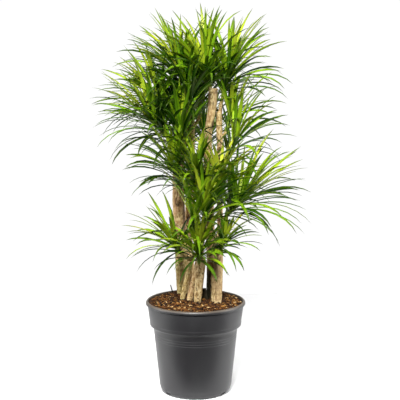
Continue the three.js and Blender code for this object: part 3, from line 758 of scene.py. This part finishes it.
def woodRoom(points, segments):
    # distance from each point to the nearest stretch of wood, less the wood's radius
    starts, ends, radii = segments
    run = ends - starts
    share = np.einsum("pk,sk->ps", points, run) - np.einsum("sk,sk->s", starts, run)
    share = np.clip(share / np.einsum("sk,sk->s", run, run), 0, 1)
    nearest = starts + share[..., None] * run
    return (np.linalg.norm(points[:, None] - nearest, axis=-1) - radii).min(1)


segments = woodSegments(list(heads))
mulchPiece(mulch)
chipsPiece(mulch, segments)
print("stage 4: mulch made")
for number, name in enumerate(canes):
    canePiece(name, 20 + 12 * number)


# dead wood that stands in the mulch: foot, tip, the radii there, and the seed of its knobs
litter = {"dark_stub_and_shade": ((25, 12, 248), (23, 11, 285), (9, 6), 71),
          "mulch_twig": ((-64, 92, 250), (-71, 94, 276), (1.7, 1.1), 72)}


def litterPiece(name, foot, tip, radii, seed):
    # a short tapered rod from foot to tip, with knobs, and a raised point at both ends
    sides = wood["shootSides"]
    foot, tip = np.array(foot, float), np.array(tip, float)
    line = evenLine(np.array([foot, mix(foot, tip, 0.55), tip]), 1.2)
    share = np.linspace(0, 1, len(line))[:, None]
    turn = ringAngles(sides)
    lumps = softNoise(radii[0] * np.cos(turn), radii[0] * np.sin(turn), line[:, 2:], radii[0], seed)
    skin = tubeAround(line, mix(*radii, share) * (1 + 0.28 * lumps), sides)
    points, *faces = closedTube(skin, line[0] - [0, 0, 0.2], line[-1] + [0, 0, 0.4])
    none = np.zeros(len(points))
    values = {key: none for key in ("scar", "young", "cutFaceAndLitSide", "pink")}
    # both rods take the black-green colour of the painted shade; the stub is made wide enough that it also
    # paints the shadow at the dark cane's foot
    values |= {"shade": none + 0.97, "knotAndShade": none + 0.2}
    meshPiece(name, points, faces, finishes["cane"], values=values)


for name, numbers in litter.items():
    litterPiece(name, *numbers)
print("stage 5: canes made")

# leaves
leafPlan = {
    # channel and bulge are shares of a blade's half width, stations are shares of its length, and a leaf that
    # would reach below lowest is left out
    "width": 9.6, "thickness": 0.7, "channel": 0.3, "bulge": 0.1, "goldenTurn": 137.508, "lowest": 318,
    "stations": (0, 0.08, 0.18, 0.3, 0.45, 0.6, 0.75, 0.88), "steps": 24,
    # degrees: the lean at the top of a head and what is added to it down to the foot, the bend at the top and
    # at the foot, and the spreads of the draws
    "lean": (14, 54), "bend": (30, 72), "turnSpread": 24, "leanSpread": 26, "bendSpread": 38,
    "swaySpread": 30, "rollSpread": 130, "lengthRange": (0.84, 1.1), "widthRange": (0.82, 1.08),
    # bare stretches of cane, which no leaf hides from the front: their sides, their heights and their depth
    "bare": (((30, 54), (742, 842), 34), ((57, 71), (668, 765), 60), ((-58, -32), (478, 566), 50)),
    # heads painted lighter or darker than the rest: the darker inner heads are painted shade deep in the
    # crown, and head_bright is painted light where the heads above shade it
    "lightAndShadeShift": {"head_front_short": 0.12, "head_thin": 0.12, "head_bright": 0.3, "head_inner": -0.3,
                  "head_left_mid": -0.25, "head_centre_mid": -0.1, "head_left_front": -0.05},
}


def growLeaves(name, number, plan):
    # the frame's rule: leaf i sits a golden turn on from the last, higher on the shoot, and leans out less
    base, tip, count, usual = (np.array(value, float) for value in heads[name][2:])
    i = np.arange(int(count))
    height = i / (count - 1)
    age = 1 - height
    axis = tip - base
    along = unit(axis)
    across = unit(np.cross(along, [0, 1, 0]))
    other = np.cross(along, across)

    def chance(quality):
        return latticeDraw(number, i, quality, 0)

    def spread(quality, degrees):
        return degrees * (chance(quality) - 0.5)

    turn = np.radians(i * plan["goldenTurn"] + spread(1, plan["turnSpread"]))[:, None]
    outward = across * np.cos(turn) + other * np.sin(turn)
    upright, fallen = plan["lean"]
    lean = np.radians(upright + fallen * age**0.8 + spread(2, plan["leanSpread"]))[:, None]
    start = unit(along * np.cos(lean) + outward * np.sin(lean) + np.array([0, 0, 0.28]))
    core = mix(wood["coreRadius"][0], wood["coreRadius"][2], height)[:, None]
    # the leaves a little below the middle of a head are its longest
    full = mix(0.8, 1, np.sin(np.pi * (0.15 + 0.6 * age)))
    return {
        "root": base + axis * (0.09 + 0.85 * height)[:, None] + outward * 0.4 * core,
        "rise": np.arcsin(start[:, 2]),
        "heading": np.arctan2(start[:, 1], start[:, 0]),
        "sway": np.radians(spread(3, plan["swaySpread"])),
        "roll": np.radians(spread(4, plan["rollSpread"])),
        "bend": np.radians(mix(*plan["bend"], age) + spread(5, plan["bendSpread"])),
        "length": usual * full * mix(*plan["lengthRange"], chance(6)),
        "width": plan["width"] * mix(*plan["widthRange"], chance(7)),
        "age": age,
        "tone": chance(8),
    }


def leafLines(leaves, plan, stations):
    # from root to tip the rise falls off as 20 parts of u and 80 of u squared, and the heading sways evenly
    steps = plan["steps"]
    u = (np.arange(steps) + 0.5) / steps
    rise = leaves["rise"][:, None] - leaves["bend"][:, None] * (0.2 * u + 0.8 * u**2)
    rise = np.maximum(rise, np.radians(-82))
    heading = leaves["heading"][:, None] + leaves["sway"][:, None] * u
    step = np.stack([np.cos(rise) * np.cos(heading), np.cos(rise) * np.sin(heading), np.sin(rise)], -1)
    step = step * (leaves["length"] / steps)[:, None, None]
    line = np.concatenate([leaves["root"][:, None], leaves["root"][:, None] + np.cumsum(step, 1)], 1)
    place = np.array(stations) * steps
    low = np.minimum(np.floor(place).astype(int), steps - 1)
    return mix(line[:, low], line[:, low + 1], (place - low)[None, :, None])


def headPiece(name, number, plan):
    # each leaf is a thin closed blade of six edges: left, left swell, midrib groove, right swell, right, keel
    leaves = growLeaves(name, number, plan)
    stations = np.array(plan["stations"] + (1.0,))
    line = leafLines(leaves, plan, stations)
    clear = woodRoom(line[:, 2:].reshape(-1, 3), segments).reshape(len(line), -1).min(1) > 1.5
    clear &= line[..., 2].min(1) > plan["lowest"]
    for (left, right), (low, high), depth in plan["bare"]:
        x, y, z = np.moveaxis(line, -1, 0)
        clear &= ~((x > left) & (x < right) & (z > low) & (z < high) & (y < depth)).any(1)
    leaves = {key: value[clear] for key, value in leaves.items()}
    line = line[clear]
    u = stations[None, :-1]
    along = unit(np.gradient(line, axis=1))[:, :-1]
    heading = leaves["heading"][:, None] + leaves["sway"][:, None] * u
    level = np.stack([-np.sin(heading), np.cos(heading), 0 * heading], -1)
    roll = (leaves["roll"][:, None] * u)[..., None]
    side = unit(level * np.cos(roll) + np.cross(along, level) * np.sin(roll))
    side = unit(side - along * np.sum(side * along, -1, keepdims=True))
    above = np.cross(along, side)
    # half as wide at the root, at its full width from 0.36 to 0.42 of its length, then a taper to the tip
    widen = mix(0.5, 1, np.sin(np.minimum(u / 0.36, 1) * np.pi / 2))
    taper = 1 - np.maximum((u - 0.42) / 0.58, 0) ** 2.4
    half = 0.5 * leaves["width"][:, None] * widen * taper
    thick = plan["thickness"] * mix(1.6, 0.7, u) + 0 * half
    groove, swell = plan["channel"] * half, plan["bulge"] * half
    sideways = np.stack([-half, -0.5 * half, 0 * half, 0.5 * half, half, 0 * half], -1)
    upwards = np.stack([0 * half, swell, -groove + swell, swell, 0 * half, -groove + swell - thick], -1)
    offset = side[:, :, None] * sideways[..., None]
    skin = line[:, :-1, None] + offset + above[:, :, None] * upwards[..., None]
    count, rings = skin.shape[:2]
    perLeaf = rings * 6 + 1
    points = np.concatenate([skin.reshape(count, -1, 3), line[:, -1:]], 1)
    first = (np.arange(count) * perLeaf)[:, None, None]
    last = (rings - 1) * 6 + np.arange(6)
    footQuads = np.array([[5, 2, 1, 0], [5, 4, 3, 2]])
    quads = [(first + ringFaces(rings, 6)).reshape(-1, 4), (first + footQuads).reshape(-1, 4)]
    tips = (first + fanFaces(last, rings * 6)).reshape(-1, 3)

    def perPoint(ring, tip):
        # a number for each point of each blade: one for each of the six edges, and one for the tip
        around = np.broadcast_to(ring, (count, rings, 6)).reshape(count, -1)
        return np.concatenate([around, np.full((count, 1), tip)], 1)

    # upper leaves are younger and lighter
    tone = mix(0.86, 0.16, leaves["age"] ** 0.65) + 0.5 * (leaves["tone"] - 0.5)
    # painted shade and light for whole heads, from the plan
    tone = np.clip(tone + plan["lightAndShadeShift"].get(name, 0), 0, 1)
    values = {
        "tone": np.repeat(tone[:, None], perLeaf, 1),
        "along": perPoint(stations[None, :-1, None], 1.0),
        "across": perPoint(np.array([0, 0.25, 0.5, 0.75, 1, 0.5]), 0.5),
        "under": perPoint(np.array([0, 0, 0, 0, 0, 1.0]), 0.0),
    }
    edge = perPoint(np.array([1, 0, 0, 0, 2, 0]), 0).astype(int).reshape(-1)
    # the core that the leaves clasp: a slim tapered stem, closed at both ends
    ends = np.array(heads[name][2:4], float)
    sides = wood["coreSides"]
    stemLine = evenLine(ends, 5)
    stemShare = np.linspace(0, 1, len(stemLine))
    stemRadius = np.interp(stemShare, [0, 0.5, 0.92, 1], wood["coreRadius"]) - 0.2
    stem = tubeAround(stemLine, np.repeat(stemRadius[:, None], sides, 1), sides)
    stemPoints, stemQuads, caps = closedTube(stem, *ends, count * perLeaf)
    points = np.concatenate([points.reshape(-1, 3), stemPoints])
    quads = np.concatenate([*quads, stemQuads])
    triangles = np.concatenate([tips, caps])
    stemCount = len(stemPoints)
    for key, stemValue in {"tone": 0.25, "along": 0.03, "across": 0.5, "under": 0.3}.items():
        values[key] = np.concatenate([values[key].reshape(-1), np.full(stemCount, stemValue)])
    edge = np.concatenate([edge, np.zeros(stemCount, int)])
    meshPiece(name + "_leaves", points, [quads, triangles], finishes["leaf"], [name], values, edge)


for number, name in enumerate(heads):
    headPiece(name, number, leafPlan)
print("stage 6: leaves grown")

# floor and light, in metres and watts: the paper's half width, near edge and far edge, how bright the room is
# low down, above and in front, and the place, target, size and power of each lamp
studio = {
    "floor": (1.4, -0.16, 1.15), "floorColour": "e2e2e2", "wall": 1.02, "ceiling": 0.35, "front": 0.06,
    "lamps": {
        "key_left": ((-2.4, -0.3, 1.3), (0, 0, 0.5), (1.4, 2.4), 75),
        "key_right": ((2.4, -0.2, 1.3), (0, 0, 0.5), (1.4, 2.4), 80),
        "top": ((-0.3, -2.3, 2.3), (0, 0, 0.6), (0.8, 0.8), 240),
        # over the paper behind the plant, to keep the paper white there
        "paper": ((0.5, 1.3, 1.6), (0.5, 0.7, 0), (1.6, 0.8), 14),
    },
}


def stageFloor(studio):
    # the paper ends close in front of the pot, so that the pot mirrors a dark room there
    half, near, far = studio["floor"]
    mesh = bpy.data.meshes.new("floor")
    mesh.from_pydata([(-half, near, 0), (half, near, 0), (half, far, 0), (-half, far, 0)], [], [(0, 1, 2, 3)])
    material, _, shader = newMaterial("pale_paper")
    shader.inputs["Base Color"].default_value = hexColour(studio["floorColour"])
    shader.inputs["Roughness"].default_value = 0.9
    mesh.materials.append(material)
    floor = bpy.data.objects.new("floor", mesh)
    bpy.context.scene.collection.objects.link(floor)


def softBox(name, place, target, size, power):
    lamp = bpy.data.lights.new(name, "AREA")
    lamp.shape = "RECTANGLE"
    lamp.size, lamp.size_y = size
    lamp.energy = power
    box = bpy.data.objects.new(name, lamp)
    box.location = place
    box.rotation_euler = (Vector(target) - Vector(place)).to_track_quat("-Z", "Y").to_euler()
    bpy.context.scene.collection.objects.link(box)


stageFloor(studio)
world = bpy.data.worlds.new("studio")
world.use_nodes = True
sky = world.node_tree
sky.nodes["Background"].inputs["Color"].default_value = hexColour("ffffff")
skyPlace = addNode(sky, "ShaderNodeTexCoord")
skyAxes = addNode(sky, "ShaderNodeSeparateXYZ", links={0: skyPlace.outputs["Generated"]}).outputs
skyWall = mapRange(sky, skyAxes["Z"], 0.12, 0.4, studio["wall"], studio["ceiling"])
skyFront = mapRange(sky, skyAxes["Y"], 0.3, -0.3, 1, studio["front"])
skyLight = addNode(sky, "ShaderNodeMath", {"operation": "MULTIPLY"}, links={0: skyWall, 1: skyFront})
sky.links.new(skyLight.outputs[0], sky.nodes["Background"].inputs["Strength"])
bpy.context.scene.world = world
for name, numbers in studio["lamps"].items():
    softBox(name, *numbers)
print("stage 7: floor and light set")
